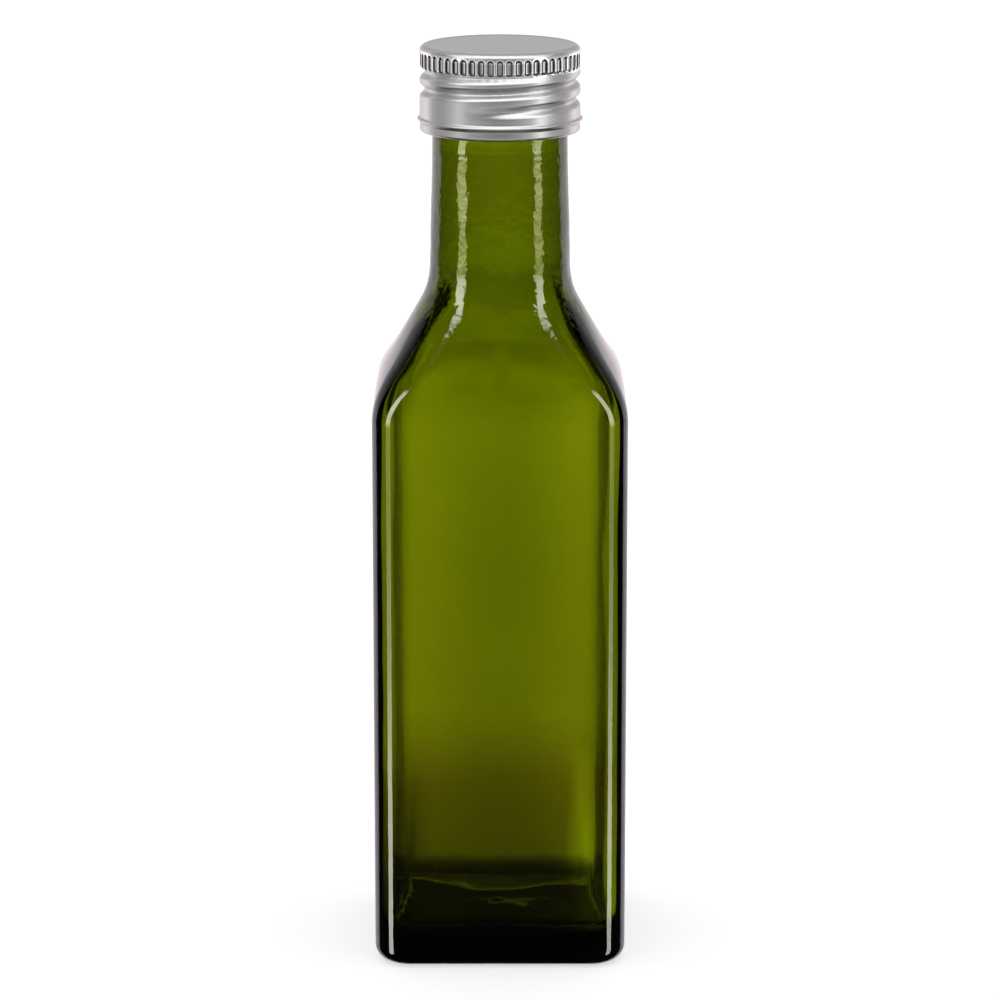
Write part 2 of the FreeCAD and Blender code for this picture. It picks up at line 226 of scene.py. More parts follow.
def ring_mesh(name, rows, pole_start, pole_end):
    """A closed smooth mesh of rings of points, shut by a fan at each end."""
    count = len(rows[0])
    points = [p for row in rows for p in row]
    faces = []
    for i in range(len(rows) - 1):
        low, high = i * count, (i + 1) * count
        for j in range(count):
            k = (j + 1) % count
            faces.append((low + j, low + k, high + k, high + j))
    last = (len(rows) - 1) * count
    for j in range(count):
        k = (j + 1) % count
        faces.append((len(points), k, j))
        faces.append((len(points) + 1, last + j, last + k))
    points += [pole_start, pole_end]
    mesh = bpy.data.meshes.new(name)
    mesh.from_pydata([Vector(p) * MM for p in points], [], faces)
    mesh.shade_smooth()
    mesh.validate()
    piece = bpy.data.objects.new(name, mesh)
    bpy.context.scene.collection.objects.link(piece)
    return piece


# ------------------------------------------------------------------ the glass

def section(half, corner, bow):
    """One closed ring: four sides bowed by +-bow and four corner arcs, as (x, y, normal x, y)."""
    bow = max(bow, LEAST_BOW)
    spare = 1.0 + math.sin(bow) - math.cos(bow)
    middle = (half - corner) * math.sin(bow) / spare
    side = (half - corner) / spare + corner
    quarter = []
    for t in spread(-1.0, 1.0, SIDE_STEPS)[:-1]:
        a = bow * t
        quarter.append((half - side + side * math.cos(a), side * math.sin(a), a))
    for t in spread(0.0, 1.0, CORNER_STEPS)[:-1]:
        a = bow + (math.pi / 2 - 2 * bow) * t
        quarter.append((middle + corner * math.cos(a), middle + corner * math.sin(a), a))
    ring = []
    for turn in range(4):
        c, s = round(math.cos(turn * math.pi / 2)), round(math.sin(turn * math.pi / 2))
        for x, y, a in quarter:
            b = a + turn * math.pi / 2
            ring.append((x * c - y * s, x * s + y * c, math.cos(b), math.sin(b)))
    return ring


def square_station(z, half, corner):
    """(height, half width, corner radius, bow) where the sides are flat."""
    return (z, half, corner, 0.0)


def round_station(z, radius):
    """(height, half width, corner radius, bow) where the section is a circle."""
    return (z, radius, radius, FULL_BOW)


def shoulder(half, corner, foot, bend, root_bend):
    """Stations from the flat sides to the round neck: convex arc, straight flank, concave arc."""
    cut = 1.0 - math.cos(FLANK_ANGLE)
    run = (half - foot - (bend + root_bend) * cut) / math.tan(FLANK_ANGLE)
    root = SHOULDER_HEIGHT + (bend + root_bend) * math.sin(FLANK_ANGLE) + run
    profile = []
    for a in spread(0.0, FLANK_ANGLE, BEND_ROWS):
        profile.append((SHOULDER_HEIGHT + bend * math.sin(a), half - bend * (1 - math.cos(a))))
    flank_z = SHOULDER_HEIGHT + bend * math.sin(FLANK_ANGLE)
    flank_a = half - bend * cut
    for t in spread(0.0, 1.0, FLANK_ROWS)[1:-1]:
        profile.append((flank_z + run * t, flank_a - run * t * math.tan(FLANK_ANGLE)))
    for a in spread(FLANK_ANGLE, 0.0, ROOT_ROWS):
        profile.append((root - root_bend * math.sin(a), foot + root_bend * (1 - math.cos(a))))
    stations = []
    for z, a in profile:
        share = (a - foot) / (half - foot)
        stations.append((z, a, a - (half - corner) * share ** FULLNESS, (1 - share) * FULL_BOW))
    return stations


def base_stations():
    """The underside, from the middle of the push-up over the bearing band and the heel."""
    rows = []
    punt = BODY_HALF - HEEL - BEARING
    for t in spread(PUNT_POLE, 1.0, PUNT_ROWS):
        rows.append(round_station(PUNT_DEPTH * (1 - t * t), punt * t))
    flat_half, flat_corner = BODY_HALF - HEEL, CORNER - HEEL
    for t in spread(0.0, 1.0, BEARING_ROWS)[1:]:
        half = punt + (flat_half - punt) * t
        corner = punt + (flat_corner - punt) * t
        rows.append((0.0, half, corner, FULL_BOW * (1 - t)))
    for a in spread(0.0, math.pi / 2, HEEL_ROWS)[1:]:
        out = HEEL * math.sin(a)
        rows.append(square_station(HEEL - HEEL * math.cos(a), flat_half + out, flat_corner + out))
    return rows


def neck_stations(root):
    """The neck from its root to the skirt of the cap."""
    rows = []
    for z in spread(root, SKIRT_RIM, NECK_ROWS)[1:]:
        share = (z - root) / (SKIRT_RIM - root)
        rows.append(round_station(z, NECK_FOOT + (NECK_TOP - NECK_FOOT) * share))
    return rows


def finish_stations():
    """The finish under the cap: transfer ring, plain wall and rounded lip."""
    ring_end = RING_HIGH + RING_RADIUS - THREAD_RADIUS
    rows = [round_station(SKIRT_RIM + RING_LOW, RING_RADIUS)]
    rows.append(round_station(SKIRT_RIM + RING_HIGH, RING_RADIUS))
    rows.append(round_station(SKIRT_RIM + ring_end, THREAD_RADIUS))
    for z in spread(SKIRT_RIM + THREAD_FOOT, LIP_HEIGHT - LIP_ROUND, FINISH_ROWS):
        rows.append(round_station(z, THREAD_RADIUS))
    edge = arc(THREAD_RADIUS - LIP_ROUND, LIP_HEIGHT - LIP_ROUND, LIP_ROUND, 0, 90, FINISH_ROWS)
    for r, z in edge[1:]:
        rows.append(round_station(z, r))
    return rows


def outer_stations():
    """The outside of the glass from the push-up to the lip."""
    rows = base_stations()
    for z in spread(HEEL, SHOULDER_HEIGHT, BODY_ROWS)[1:-1]:
        rows.append(square_station(z, BODY_HALF, CORNER))
    rows += shoulder(BODY_HALF, CORNER, NECK_FOOT, SHOULDER_BEND, NECK_ROOT_BEND)
    root = rows[-1][0]
    return rows + neck_stations(root) + finish_stations()


def bore_stations(root):
    """The bore from the lip down to the root of the neck."""
    rows = [round_station(LIP_HEIGHT, BORE + LIP_CHAMFER)]
    rows.append(round_station(LIP_HEIGHT - LIP_CHAMFER, BORE))
    foot = SKIRT_RIM + RING_HIGH
    for z in spread(LIP_HEIGHT - BORE_START, foot, FINISH_ROWS):
        rows.append(round_station(z, BORE))
    for z in spread(foot, root, INNER_NECK_ROWS)[1:-1]:
        share = (foot - z) / (foot - root)
        rows.append(round_station(z, BORE + (INNER_FOOT - BORE) * share))
    return rows


def chamber_stations():
    """The chamber from under its shoulder down to the middle of its floor."""
    rows = []
    heel = CHAMBER_HEEL
    for z in spread(SHOULDER_HEIGHT, FLOOR_HEIGHT + heel, BODY_ROWS)[1:-1]:
        rows.append(square_station(z, INNER_HALF, INNER_CORNER))
    for a in spread(0.0, math.pi / 2, CHAMBER_ROWS):
        cut = heel * (1 - math.cos(a))
        z = FLOOR_HEIGHT + heel - heel * math.sin(a)
        rows.append(square_station(z, INNER_HALF - cut, INNER_CORNER - cut))
    half, corner = INNER_HALF - heel, INNER_CORNER - heel
    for t in spread(1.0, FLOOR_POLE, CHAMBER_ROWS)[1:]:
        rise = FLOOR_DOME * (1 - t * t) ** 2
        roundness = half * t * (1 - t) + corner * t
        rows.append((FLOOR_HEIGHT + rise, half * t, roundness, FULL_BOW * (1 - t)))
    return rows


def inner_stations():
    """The inside of the glass from the lip down to the middle of the floor."""
    body = shoulder(INNER_HALF, INNER_CORNER, INNER_FOOT, INNER_BEND, INNER_ROOT_BEND)
    root = body[-1][0]
    return bore_stations(root) + body[::-1] + chamber_stations()


def ripple(x, y, z, waves):
    """Smooth noise: the sum of waves of (height, length across, length down the glass, seed)."""
    total = 0.0
    for height, length, drop, seed in waves:
        spot = Vector((x / length + seed, y / length - seed, z / drop + 2 * seed))
        total += height * noise.noise(spot)
    return total


def mould_lines(z):
    """Two fine ridges round the top of the neck, left by the parting of the neck mould."""
    rise = 0.0
    for line in MOULD_LINES:
        rise += MOULD_LINE_RISE * math.exp(-((z - line) / MOULD_LINE_HALF) ** 2)
    return rise


def outer_wave(x, y, z):
    """How far pressed and blown glass strays from true outside, least on the flat body."""
    on_neck = smooth_step(*NECK_BEGINS, z) * (1.0 - smooth_step(*UNDER_CAP, z))
    calm = ripple(x, y, z, CALM_WAVES) * smooth_step(*ABOVE_HEEL, z)
    return calm + ripple(x, y, z, NECK_WAVES) * on_neck + mould_lines(z)


def inner_wave(x, y, z):
    """How far the blown inner wall strays from true: thick in mid side, where it chills first."""
    beside = min(abs(x), abs(y)) / INNER_HALF
    in_body = 1.0 - smooth_step(*BODY_ENDS, z)
    turned = smooth_step(*TURN_BEGINS, z) * (1.0 - smooth_step(*TURN_ENDS, z))
    wave = ripple(x, y, z, INNER_WAVES) + turned * ripple(x, y, z, TURN_WAVES)
    thick = MID_SIDE_FILL * (1.0 - smooth_step(*MID_SIDE_SPAN, beside)) * in_body
    thick += NECK_FILL * (1.0 - in_body) + ROOT_FILL * turned
    return (wave - thick) * (1.0 - smooth_step(*UNDER_CAP, z))


def no_lift(x, y, z):
    """No lift: the outside stands true."""
    return 0.0


def floor_lift(x, y, z):
    """Uneven chamber floor, with small pits where it meets the walls."""
    low = 1.0 - smooth_step(*FLOOR_ENDS, z)
    at_wall = smooth_step(*PITS_BEGIN, max(abs(x), abs(y)) / INNER_HALF)
    return low * (ripple(x, y, z, FLOOR_WAVES) + ripple(x, y, z, FLOOR_PITS) * at_wall)


def glass_rows(stations, wave, lift):
    """Rings of points, each pushed along its own normal by the wave and raised by the lift."""
    rows = []
    for z, half, corner, bow in stations:
        ring = []
        for x, y, nx, ny in section(half, corner, bow):
            push = wave(x, y, z)
            ring.append((x + nx * push, y + ny * push, z + lift(x, y, z)))
        rows.append(ring)
    return rows


def limit(rows, half):
    """Keeps every point within half of the axis, so that no wave leaves the CAD box."""
    def held(v):
        return max(-half, min(half, v))
    return [[(held(x), held(y), z) for x, y, z in row] for row in rows]


def make_bottle():
    """The glass: its outside, its inside and the lip between them, as one closed mesh."""
    outside = limit(glass_rows(outer_stations(), outer_wave, no_lift), BODY_HALF)
    inside = glass_rows(inner_stations(), inner_wave, floor_lift)
    under = (0, 0, PUNT_DEPTH)
    above = (0, 0, FLOOR_HEIGHT + FLOOR_DOME)
    piece = ring_mesh("glass_bottle", outside + inside, under, above)
    piece.data.materials.append(glass_material())
    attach(piece, "root")
    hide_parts("bottle")
    return piece


# ------------------------------------------------------------------ the cap

def thread_middle(turned):
    """Height of the rolled thread's groove after so many degrees from its start at the front."""
    late = max(0.0, (turned - THREAD_SAG_START) / 180.0)
    climb = THREAD_PITCH * turned / 360.0
    return THREAD_START + climb - THREAD_SAG * late ** THREAD_SAG_POWER


def thread_cut(angle, z):
    """Depth of the rolled thread at an angle in degrees from the front, to the right."""
    cut = 0.0
    for turn in range(THREAD_TURNS):
        turned = (angle + 180.0) % 360.0 - 180.0 + 360.0 * turn
        depth = smooth_step(*THREAD_FADE_IN, turned) * (1.0 - smooth_step(*THREAD_FADE_OUT, turned))
        off = z - thread_middle(turned)
        half = THREAD_HALF
        if off > 0.0:
            half -= THREAD_NARROWING * smooth_step(*THREAD_NARROWS, turned)
        if abs(off) < half and depth > 0.0:
            wave = 0.5 + 0.5 * math.cos(math.pi * off / half)
            cut = max(cut, depth * THREAD_DEPTH * wave ** THREAD_SHARPNESS)
    return cut


def flute_cut(across, z):
    """Depth of one upright slot with round ends, at a distance across from its middle."""
    reach = math.sqrt(FLUTE_RADIUS ** 2 - (FLUTE_RADIUS - FLUTE_DEPTH) ** 2)
    middle = (FLUTE_TOP + FLUTE_FOOT) / 2
    beyond = max(0.0, abs(z - middle) - ((FLUTE_TOP - FLUTE_FOOT) / 2 - reach))
    away = math.hypot(across, beyond)
    if away >= reach:
        return 0.0
    return math.sqrt(FLUTE_RADIUS ** 2 - away ** 2) - (FLUTE_RADIUS - FLUTE_DEPTH)


def plain(points):
    """Rows of a stretch of the cap that has neither the thread nor flutes pressed into it."""
    return [(r, z, 0, 0) for r, z in points]


def top_profile():
    """(radius, height, threaded, fluted) from the middle of the top over its edge."""
    rows = plain((r, CAP_TOP - TOP_DISH * (1 - smooth_step(*DISH_EDGE, r))) for r in TOP_RINGS)
    edge = arc(CAP_RADIUS - CAP_EDGE, CAP_TOP - CAP_EDGE, CAP_EDGE, 90, 0, EDGE_ROWS)
    return rows + [(r, z, 0, 1) for r, z in edge]


def band_profile():
    """The same, down the fluted band, the band of the thread, the bead and the hem."""
    rows = []
    for z in spread(CAP_TOP - CAP_EDGE, FLUTE_END, FLUTE_ROWS)[1:]:
        rows.append((CAP_RADIUS, z, 1, 1))
    for z in spread(FLUTE_END, BEAD_MIDDLE + BEAD_WIDTH / 2, BAND_ROWS)[1:]:
        rows.append((CAP_RADIUS, z, 1, 0))
    for t in spread(1.0, -1.0, BEAD_ROWS)[1:]:
        bulge = BEAD_RISE * (0.5 + 0.5 * math.cos(math.pi * t))
        rows.append((CAP_RADIUS + bulge, BEAD_MIDDLE + BEAD_WIDTH / 2 * t, 0, 0))
    for t in spread(0.0, 1.0, SKIRT_ROWS)[:-1]:
        z = BEAD_MIDDLE - BEAD_WIDTH / 2 * (1 - t) + (SKIRT_RIM + HEM - BEAD_MIDDLE) * t
        rows.append((CAP_RADIUS - HEM_TILT * (1 - t), z, 0, 0))
    return rows + plain(arc(CAP_RADIUS - HEM, SKIRT_RIM + HEM, HEM, 0, -90, HEM_ROWS))


def inner_profile():
    """The same, up the inside of the sheet from the hem to the middle of the top."""
    inner = CAP_RADIUS - CAP_WALL
    behind = inner - FLUTE_DEPTH
    ceiling = CAP_TOP - CAP_WALL
    rows = plain([(CAP_RADIUS - HEM - SHEET_END, SKIRT_RIM + CAP_WALL / 2)])
    turned_in = arc(CAP_RADIUS - HEM, SKIRT_RIM + HEM, HEM - CAP_WALL, -90, 0, INNER_HEM_ROWS)
    rows += plain(turned_in)
    for z in spread(SKIRT_RIM + HEM, DRAW_IN_FOOT, INNER_BAND_ROWS)[1:]:
        rows.append((inner, z, 1, 0))
    rows += plain([(behind, DRAW_IN_TOP), (behind, CAP_TOP - CAP_EDGE)])
    return rows + plain([(behind - INNER_BEVEL, ceiling), (INNER_RING, ceiling)])


def across_flute(column):
    """How far a column of points is from the middle of its flute, along the band."""
    step = (column + FLUTE_STEPS / 2) % FLUTE_STEPS - FLUTE_STEPS / 2
    return step / FLUTE_STEPS * 2 * math.pi * CAP_RADIUS / FLUTES


def make_cap():
    """The cap: turned sheet, with the flutes and the rolled thread pressed into its wall."""
    columns = FLUTES * FLUTE_STEPS
    rows = []
    recess = []
    knurl = []
    for radius, z, threaded, fluted in top_profile() + band_profile() + inner_profile():
        ring = []
        for j in range(columns):
            turn = 2 * math.pi * j / columns
            thread = thread_cut(math.degrees(turn), z) if threaded else 0.0
            flute = flute_cut(across_flute(j), z) if fluted else 0.0
            r = radius - thread - flute
            recess.append(flute / FLUTE_DEPTH)
            knurl.append(float(fluted and z < KNURL_TOP))
            ring.append((r * math.sin(turn), -r * math.cos(turn), z))
        rows.append(ring)
    piece = ring_mesh("screw_cap", rows, (0, 0, CAP_TOP - TOP_DISH), (0, 0, CAP_TOP - CAP_WALL))
    # recess drives the painted shade in the slots; knurl drives the painted highlight and the
    # polish of the band.
    for name, values in (("recess", recess), ("knurl", knurl)):
        shade = piece.data.attributes.new(name, "FLOAT", "POINT")
        shade.data.foreach_set("value", values + [0.0, 0.0])
    piece.data.materials.append(aluminium_material())
    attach(piece, "root")
    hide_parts("cap")
    return piece


# ------------------------------------------------------------------ node helpers

def new_material(name):
    """A material with an empty node tree, that tree, and its output node."""
    material = bpy.data.materials.new(name)
    material.use_nodes = True
    tree = material.node_tree
    tree.nodes.clear()
    out = tree.nodes.new("ShaderNodeOutputMaterial")
    return material, tree, out


def node(tree, kind, **inputs):
    """A new node with its named inputs set, spaces in a name written as underscores."""
    made = tree.nodes.new(kind)
    for key, value in inputs.items():
        made.inputs[key.replace("_", " ")].default_value = value
    return made


def link(tree, source, target):
    """Joins an output to an input."""
    tree.links.new(source, target)


def feed(tree, value, target):
    """Gives an input its value: a link from another socket, or a plain number or colour."""
    if isinstance(value, bpy.types.NodeSocket):
        link(tree, value, target)
    else:
        target.default_value = value


def calculate(tree, operation, first, second):
    """The result of a sum on two values."""
    made = tree.nodes.new("ShaderNodeMath")
    made.operation = operation
    feed(tree, first, made.inputs[0])
    feed(tree, second, made.inputs[1])
    return made.outputs[0]


def remap(tree, value, low, high, start=0.0, end=1.0):
    """start where the value is low or less, end where it is high or more, and even between."""
    made = node(tree, "ShaderNodeMapRange", From_Min=low, From_Max=high, To_Min=start, To_Max=end)
    link(tree, value, made.inputs["Value"])
    return made.outputs["Result"]


def colour_ramp(tree, value, stops):
    """The colour at a value from 0 to 1, through stops of (value, colour)."""
    made = tree.nodes.new("ShaderNodeValToRGB")
    elements = made.color_ramp.elements
    for element, (spot, colour) in zip(elements, (stops[0], stops[-1])):
        element.position = spot
        element.color = (*colour, 1)
    for spot, colour in stops[1:-1]:
        elements.new(spot).color = (*colour, 1)
    link(tree, value, made.inputs["Fac"])
    return made.outputs["Color"]


def grey(level):
    """A colour without hue."""
    return (level, level, level)


def mix_colours(tree, share, first, second, blend="MIX"):
    """Two colours blended by a share from 0 to 1."""
    made = tree.nodes.new("ShaderNodeMix")
    made.data_type = "RGBA"
    made.blend_type = blend
    colours = [s for s in made.inputs if s.type == "RGBA"]
    feed(tree, share, made.inputs[0])
    feed(tree, first, colours[0])
    feed(tree, second, colours[1])
    return [s for s in made.outputs if s.type == "RGBA"][0]


def mix_values(tree, share, first, second):
    """Two numbers blended by a share from 0 to 1."""
    made = tree.nodes.new("ShaderNodeMix")
    made.data_type = "FLOAT"
    floats = [s for s in made.inputs if s.type == "VALUE"]
    for value, target in zip((share, first, second), floats):
        feed(tree, value, target)
    return made.outputs[0]


def split_axes(tree, place):
    """The X, Y and Z outputs of a place."""
    made = node(tree, "ShaderNodeSeparateXYZ")
    link(tree, place, made.inputs["Vector"])
    return made.outputs


def distance(tree, place):
    """How far a place is from the origin."""
    made = tree.nodes.new("ShaderNodeVectorMath")
    made.operation = "LENGTH"
    link(tree, place, made.inputs[0])
    return made.outputs["Value"]


def attribute(tree, name):
    """A value that make_cap stored on the points of the mesh."""
    made = tree.nodes.new("ShaderNodeAttribute")
    made.attribute_name = name
    return made.outputs["Fac"]


# ------------------------------------------------------------------ materials

GLASS_COLOUR = (0.781, 0.814, 0.0125, 1)
GLASS_DENSITY = 1600.0
GLASS_IOR = 1.52

# Heights in metres over which the grain of the neck comes in, and its share below and above.
GRAIN_HEIGHT = (0.096, 0.101)
GRAIN_SHARE = (0.04, 1.0)

# The fluted band has a paler colour than the rest, a painted highlight on its lands. It has this
# share of its roughness, and painted shade that makes its slots dark, deepest on their walls and
# lighter on their floors.
KNURL_POLISH = 0.4
SATIN_ROUGHNESS = (0.28, 0.38)
SATIN_DARK = (0.54, 0.535, 0.53, 1)
SATIN_PALE = (0.62, 0.615, 0.605, 1)
KNURL_HIGHLIGHT_COLOUR = (0.95, 0.945, 0.94, 1)
SLOT_SHADE_COLOUR = (0.03, 0.028, 0.028, 1)
PAINTED_SLOT_SHADE = (
    (0.10, grey(0.0)),
    (0.30, grey(0.97)),
    (0.72, grey(0.97)),
    (1.0, grey(0.2)),
)


def neck_grain(tree, place, under):
    """Fine grain of the neck mould, fading out on the shoulder below; a normal."""
    height = split_axes(tree, place)["Z"]
    share = remap(tree, height, *GRAIN_HEIGHT, *GRAIN_SHARE)
    grain = node(tree, "ShaderNodeTexNoise", Scale=1000.0, Detail=1.5, Roughness=0.5)
    link(tree, place, grain.inputs["Vector"])
    bump = node(tree, "ShaderNodeBump", Distance=0.00005)
    link(tree, share, bump.inputs["Strength"])
    link(tree, grain.outputs["Fac"], bump.inputs["Height"])
    link(tree, under, bump.inputs["Normal"])
    return bump.outputs["Normal"]


def glass_material():
    """Antique-green bottle glass: colour from absorption, faint mould ripple in the surface."""
    material, tree, out = new_material("antique_green_glass")
    shader = node(tree, "ShaderNodeBsdfPrincipled", Base_Color=(1, 1, 1, 1), Roughness=0.0,
                  IOR=GLASS_IOR, Transmission_Weight=1.0)
    place = node(tree, "ShaderNodeTexCoord").outputs["Object"]
    swirl = node(tree, "ShaderNodeTexNoise", Scale=160.0, Detail=2.0, Roughness=0.45)
    bump = node(tree, "ShaderNodeBump", Strength=0.12, Distance=0.00012)
    link(tree, place, swirl.inputs["Vector"])
    link(tree, swirl.outputs["Fac"], bump.inputs["Height"])
    link(tree, neck_grain(tree, place, bump.outputs["Normal"]), shader.inputs["Normal"])
    green = node(tree, "ShaderNodeVolumeAbsorption", Color=GLASS_COLOUR, Density=GLASS_DENSITY)
    link(tree, shader.outputs["BSDF"], out.inputs["Surface"])
    link(tree, green.outputs["Volume"], out.inputs["Volume"])
    return material


def turned_grain(tree, place):
    """Noise that only changes along the radius and the height, as lines round the axis."""
    axes = split_axes(tree, place)
    flat = node(tree, "ShaderNodeCombineXYZ")
    link(tree, axes["X"], flat.inputs["X"])
    link(tree, axes["Y"], flat.inputs["Y"])
    turned = node(tree, "ShaderNodeCombineXYZ")
    link(tree, distance(tree, flat.outputs["Vector"]), turned.inputs["X"])
    link(tree, axes["Z"], turned.inputs["Y"])
    grain = node(tree, "ShaderNodeTexNoise", Scale=5200.0, Detail=2.0, Roughness=0.6)
    link(tree, turned.outputs["Vector"], grain.inputs["Vector"])
    return grain.outputs["Fac"]


def aluminium_material():
    """Satin aluminium: turned grain, cloudy roughness, a painted highlight on the fluted band, and
    painted shade on the walls of its slots.
    """
    material, tree, out = new_material("satin_aluminium")
    shader = node(tree, "ShaderNodeBsdfPrincipled", Metallic=1.0)
    place = node(tree, "ShaderNodeTexCoord").outputs["Object"]
    grain = turned_grain(tree, place)
    knurl = attribute(tree, "knurl")
    cloud = node(tree, "ShaderNodeTexNoise", Scale=260.0, Detail=3.0, Roughness=0.55)
    link(tree, place, cloud.inputs["Vector"])
    rough = remap(tree, cloud.outputs["Fac"], 0.0, 1.0, *SATIN_ROUGHNESS)
    polish = remap(tree, knurl, 0.0, 1.0, 1.0, KNURL_POLISH)
    link(tree, calculate(tree, "MULTIPLY", rough, polish), shader.inputs["Roughness"])
    satin = mix_colours(tree, grain, SATIN_DARK, SATIN_PALE)
    # The fluted band takes a paler colour, a painted highlight.
    bare = mix_colours(tree, knurl, satin, KNURL_HIGHLIGHT_COLOUR)
    # Painted shade on the slot walls, set by how deep a point lies in its flute.
    dark = colour_ramp(tree, attribute(tree, "recess"), PAINTED_SLOT_SHADE)
    link(tree, mix_colours(tree, dark, bare, SLOT_SHADE_COLOUR), shader.inputs["Base Color"])
    bump = node(tree, "ShaderNodeBump", Strength=0.15, Distance=0.00002)
    link(tree, grain, bump.inputs["Height"])
    link(tree, bump.outputs["Normal"], shader.inputs["Normal"])
    link(tree, shader.outputs["BSDF"], out.inputs["Surface"])
    return material


# ------------------------------------------------------------------ the floor

FLOOR_HALF = 3.0
FLOOR_PALE = (0.85, 0.85, 0.85, 1)
FLOOR_GLOW = 0.60

# What the glass shows of the floor, by the distance from the bottle as a share of the reach: a
# glowing painted shadow, near black under and close to the bottle, then pale farther out, and
# greyer again at the far end.
THROUGH_REACH = 0.65
PAINTED_SHADOW_THROUGH_GLASS = (
    (0.0, (0.008, 0.006, 0.005)),
    (0.028, (0.012, 0.009, 0.008)),
    (0.038, (0.06, 0.05, 0.045)),
    (0.053, (0.36, 0.29, 0.27)),
    (0.077, (0.41, 0.33, 0.31)),
    (0.123, (0.48, 0.35, 0.35)),
    (0.20, (0.83, 0.75, 0.75)),
    (0.37, (0.85, 0.80, 0.80)),
    (0.54, (0.97, 0.93, 0.93)),
    (0.70, (0.92, 0.90, 0.90)),
    (1.0, (0.68, 0.65, 0.65)),
)

# Close to the bottle this has painted shade on the left and a painted pool of light, brighter than
# white, on the right. The half width, and the distances over which the lean fades, are in metres.
LEAN_HALF = 0.018
LEAN_FADE = (0.04, 0.11, 1.0, 0.0)
PAINTED_LIGHT_LEAN = (
    (0.0, grey(0.2)),
    (0.25, grey(0.8)),
    (0.75, grey(1.0)),
    (0.93, (2.5, 3.1, 2.3)),
)


def seen_directly(tree):
    """The light path, and 1 for rays that come from the camera, a reflection or the glass."""
    path = node(tree, "ShaderNodeLightPath").outputs
    seen = path["Is Camera Ray"]
    for kind in ("Is Glossy Ray", "Is Transmission Ray"):
        seen = calculate(tree, "MAXIMUM", seen, path[kind])
    return path, seen


def floor_with_painted_shadow(tree):
    """The colour that the floor has for rays that pass the glass: a painted shadow near the bottle,
    with painted shade to its left and a painted pool of light to its right.
    """
    place = node(tree, "ShaderNodeNewGeometry").outputs["Position"]
    away = distance(tree, place)
    fade = colour_ramp(tree, remap(tree, away, 0.0, THROUGH_REACH), PAINTED_SHADOW_THROUGH_GLASS)
    # Painted shade to the left of the bottle and a painted pool of light to its right, fading with
    # distance.
    side = remap(tree, split_axes(tree, place)["X"], -LEAN_HALF, LEAN_HALF)
    near = remap(tree, away, *LEAN_FADE)
    return mix_colours(tree, near, fade, colour_ramp(tree, side, PAINTED_LIGHT_LEAN), "MULTIPLY")


def floor_material():
    """Pale and matt, lit up where it is seen, so that it is white but for the shadow; to rays
    through the glass it glows with a painted shadow instead.
    """
    material, tree, out = new_material("pale_floor")
    lit = node(tree, "ShaderNodeBsdfDiffuse", Color=FLOOR_PALE)
    path, seen = seen_directly(tree)
    glow = node(tree, "ShaderNodeEmission")
    link(tree, calculate(tree, "MULTIPLY", seen, FLOOR_GLOW), glow.inputs["Strength"])
    both = tree.nodes.new("ShaderNodeAddShader")
    link(tree, lit.outputs[0], both.inputs[0])
    link(tree, glow.outputs[0], both.inputs[1])
    # Rays through the glass see this glowing painted shadow instead of the lit floor.
    through = node(tree, "ShaderNodeEmission")
    link(tree, floor_with_painted_shadow(tree), through.inputs["Color"])
    pick = tree.nodes.new("ShaderNodeMixShader")
    link(tree, path["Is Transmission Ray"], pick.inputs["Fac"])
    link(tree, both.outputs[0], pick.inputs[1])
    link(tree, through.outputs[0], pick.inputs[2])
    link(tree, pick.outputs[0], out.inputs["Surface"])
    return material


def make_floor():
    """A pale floor that shows white where it is lit, and keeps the bottle's shadow."""
    mesh = bpy.data.meshes.new("floor")
    corners = ((-1, -1), (1, -1), (1, 1), (-1, 1))
    mesh.from_pydata([(x * FLOOR_HALF, y * FLOOR_HALF, 0) for x, y in corners], [], [(0, 1, 2, 3)])
    mesh.materials.append(floor_material())
    floor = bpy.data.objects.new("floor", mesh)
    bpy.context.scene.collection.objects.link(floor)
    floor.visible_glossy = False


# ------------------------------------------------------------------ the world

# Levels by the direction of a ray, as (from, to, level before, level after) along one axis:
# for rays that the surfaces mirror, for rays that the glass passes, and for the lilac tint.
MIRRORED_BEHIND = (0.46, 0.54, 0.02, 1.0)
MIRRORED_RISING = (0.02, 0.22, 1.0, 0.54)
MIRRORED_HIGH = (0.30, 0.5, 1.0, 0.3)
PASSED_BEHIND = (0.1, 0.5, 0.03, 1.0)
PASSED_RISING = (-0.02, 0.2, 1.0, 0.05)
LILAC_RISING = (-0.05, 0.10, 1.0, 0.0)
LILAC = (1.0, 0.89, 0.98, 1)
WHITE = (1, 1, 1, 1)
SOFT_LEVEL = 0.6


